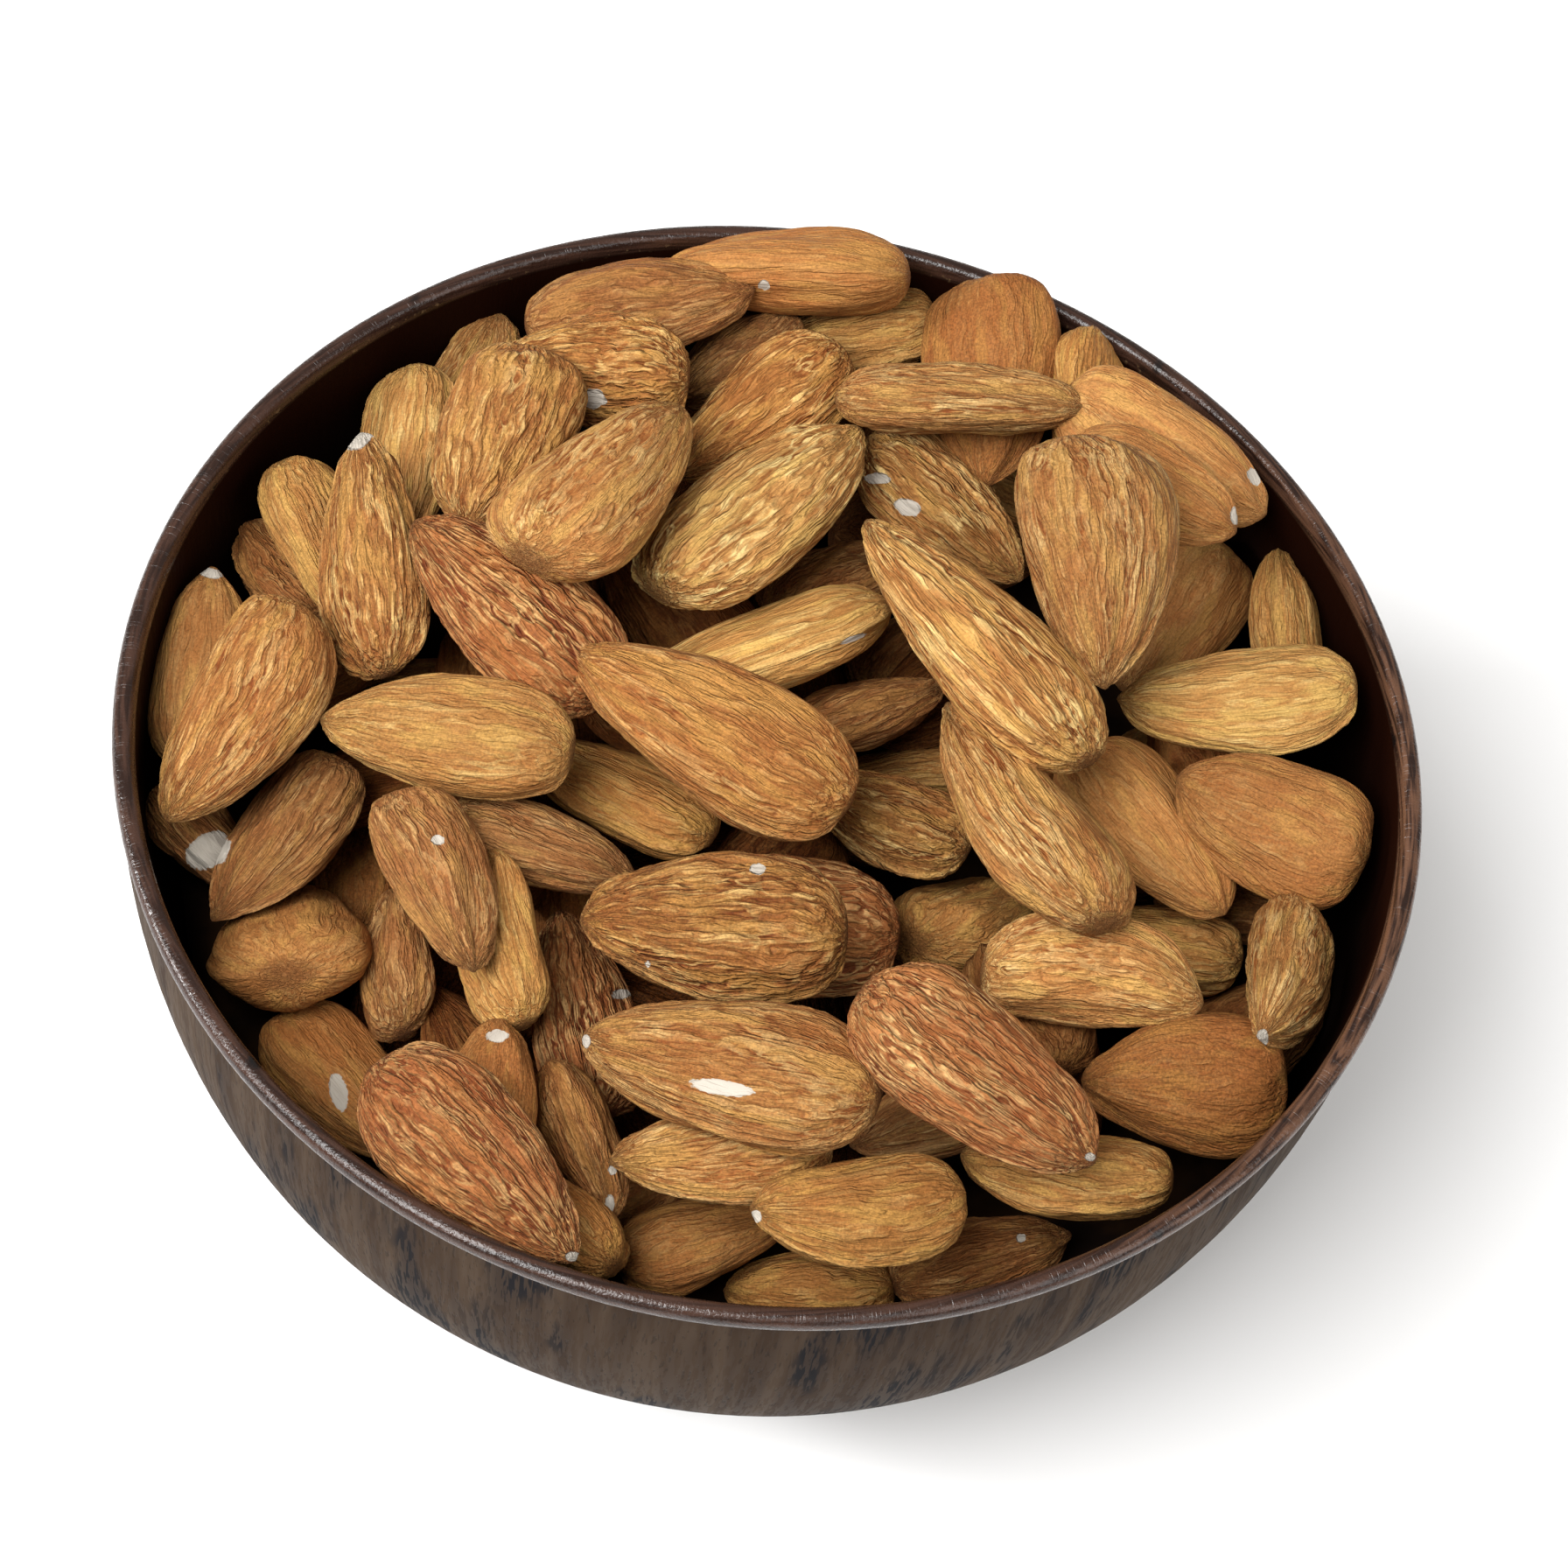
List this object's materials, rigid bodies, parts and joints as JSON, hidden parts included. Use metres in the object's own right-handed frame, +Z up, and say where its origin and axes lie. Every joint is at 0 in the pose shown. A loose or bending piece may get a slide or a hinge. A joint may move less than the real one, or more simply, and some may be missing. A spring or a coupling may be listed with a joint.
{
  "type": "bowl of almonds",
  "caption": "Small round turned-wood bowl on a low foot, heaped to just above its thin rounded rim with whole shelled almonds.",
  "frame": {"origin": "centre of the underside of the bowl's foot, on the surface the bowl stands on", "axes": "+Z up along the bowl's axis; -Y is the side the picture looks from, +X is to its right"},
  "size_m": [0.116, 0.116, 0.0686],
  "materials": {
    "dark_wood": "dark brown turned wood with a thin satin to glossy varnish, blue-black grain streaks outside, red-brown inside",
    "almond_skin": "dry matte wrinkled skin, golden to reddish brown, with paler ridges and darker grooves"
  },
  "bodies": {
    "root": {"bowl": "dark_wood", "almond_heap": "almond_skin"}
  },
  "joints": []
}
